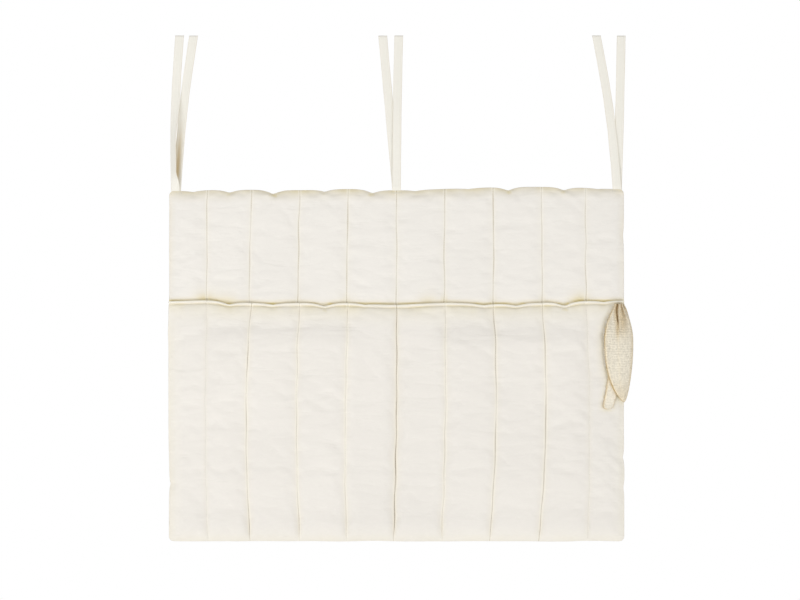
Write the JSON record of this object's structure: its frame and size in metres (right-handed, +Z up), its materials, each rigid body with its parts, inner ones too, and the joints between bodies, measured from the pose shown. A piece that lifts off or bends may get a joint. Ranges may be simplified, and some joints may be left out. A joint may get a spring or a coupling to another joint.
{
  "type": "crib organizer",
  "caption": "Quilted cloth organizer that hangs by ties from a crib rail, with a padded back panel, a wide padded pocket divided in the middle and a folded side tail.",
  "frame": {"origin": "middle of the back panel's top edge, halfway through its thickness, where it hangs below the rail", "axes": "+X to the right as seen from the front, -Y out of the front, +Z up along the ties"},
  "size_m": [0.6121, 0.031, 0.6654],
  "materials": {
    "panel_cloth": "matt woven cotton, off-white",
    "pocket_cloth": "matt woven cotton, off-white",
    "wadding": "loose white fibre wadding",
    "thread": "matt cream sewing thread",
    "tie_cloth": "matt woven cotton, off-white",
    "tail_cloth": "matt coarse ribbed cotton, cream"
  },
  "bodies": {
    "panel": {"back_face": "panel_cloth", "back_wadding": "wadding", "back_lining": "panel_cloth", "back_quilting_1": "thread", "back_quilting_2": "thread", "back_quilting_3": "thread", "back_quilting_4": "thread", "back_quilting_5": "thread", "back_quilting_6": "thread", "back_quilting_7": "thread", "back_quilting_8": "thread", "back_quilting_9": "thread", "pocket_face": "pocket_cloth", "pocket_wadding": "wadding", "pocket_lining": "pocket_cloth", "pocket_quilting_1": "thread", "pocket_quilting_2": "thread", "pocket_quilting_3": "thread", "pocket_quilting_4": "thread", "pocket_quilting_5": "thread", "pocket_quilting_6": "thread", "pocket_quilting_7": "thread", "pocket_quilting_8": "thread", "pocket_quilting_9": "thread", "pocket_seam_left": "thread", "pocket_seam_right": "thread", "pocket_seam_bottom": "thread", "pocket_seam_divider": "thread", "tie_tack_left": "thread", "tie_tack_centre": "thread", "tie_tack_right": "thread", "tail_tack": "thread"},
    "left_front_tie": {"tie_left_front": "tie_cloth"},
    "left_rear_tie": {"tie_left_rear": "tie_cloth"},
    "centre_front_tie": {"tie_centre_front": "tie_cloth"},
    "centre_rear_tie": {"tie_centre_rear": "tie_cloth"},
    "right_front_tie": {"tie_right_front": "tie_cloth"},
    "right_rear_tie": {"tie_right_rear": "tie_cloth"},
    "rear_tail": {"tail_rear": "tail_cloth"},
    "front_tail": {"tail_front": "tail_cloth"}
  },
  "joints": [
    {"name": "left_front_tie_swing", "type": "hinge", "parent": "panel", "child": "left_front_tie", "pos_m": [-0.29, -0.001, 0.00035], "axis": [1, 0, 0], "range_deg": [0, 150]},
    {"name": "left_rear_tie_swing", "type": "hinge", "parent": "panel", "child": "left_rear_tie", "pos_m": [-0.285, 0.001, 0.00035], "axis": [-1, 0, 0], "range_deg": [0, 150]},
    {"name": "centre_front_tie_swing", "type": "hinge", "parent": "panel", "child": "centre_front_tie", "pos_m": [0, -0.001, 0.0024], "axis": [1, 0, 0], "range_deg": [0, 150]},
    {"name": "centre_rear_tie_swing", "type": "hinge", "parent": "panel", "child": "centre_rear_tie", "pos_m": [0, 0.001, 0.0024], "axis": [-1, 0, 0], "range_deg": [0, 150]},
    {"name": "right_front_tie_swing", "type": "hinge", "parent": "panel", "child": "right_front_tie", "pos_m": [0.29, -0.001, 0.00035], "axis": [1, 0, 0], "range_deg": [0, 150]},
    {"name": "right_rear_tie_swing", "type": "hinge", "parent": "panel", "child": "right_rear_tie", "pos_m": [0.29, 0.001, 0.00035], "axis": [-1, 0, 0], "range_deg": [0, 150]},
    {"name": "rear_tail_lift", "type": "hinge", "parent": "panel", "child": "rear_tail", "pos_m": [0.294, -0.0121, -0.152], "axis": [-1, 0, 0], "range_deg": [0, 60]},
    {"name": "front_tail_lift", "type": "hinge", "parent": "rear_tail", "child": "front_tail", "pos_m": [0.294, -0.0136, -0.152], "axis": [-1, 0, 0], "range_deg": [0, 35]}
  ]
}
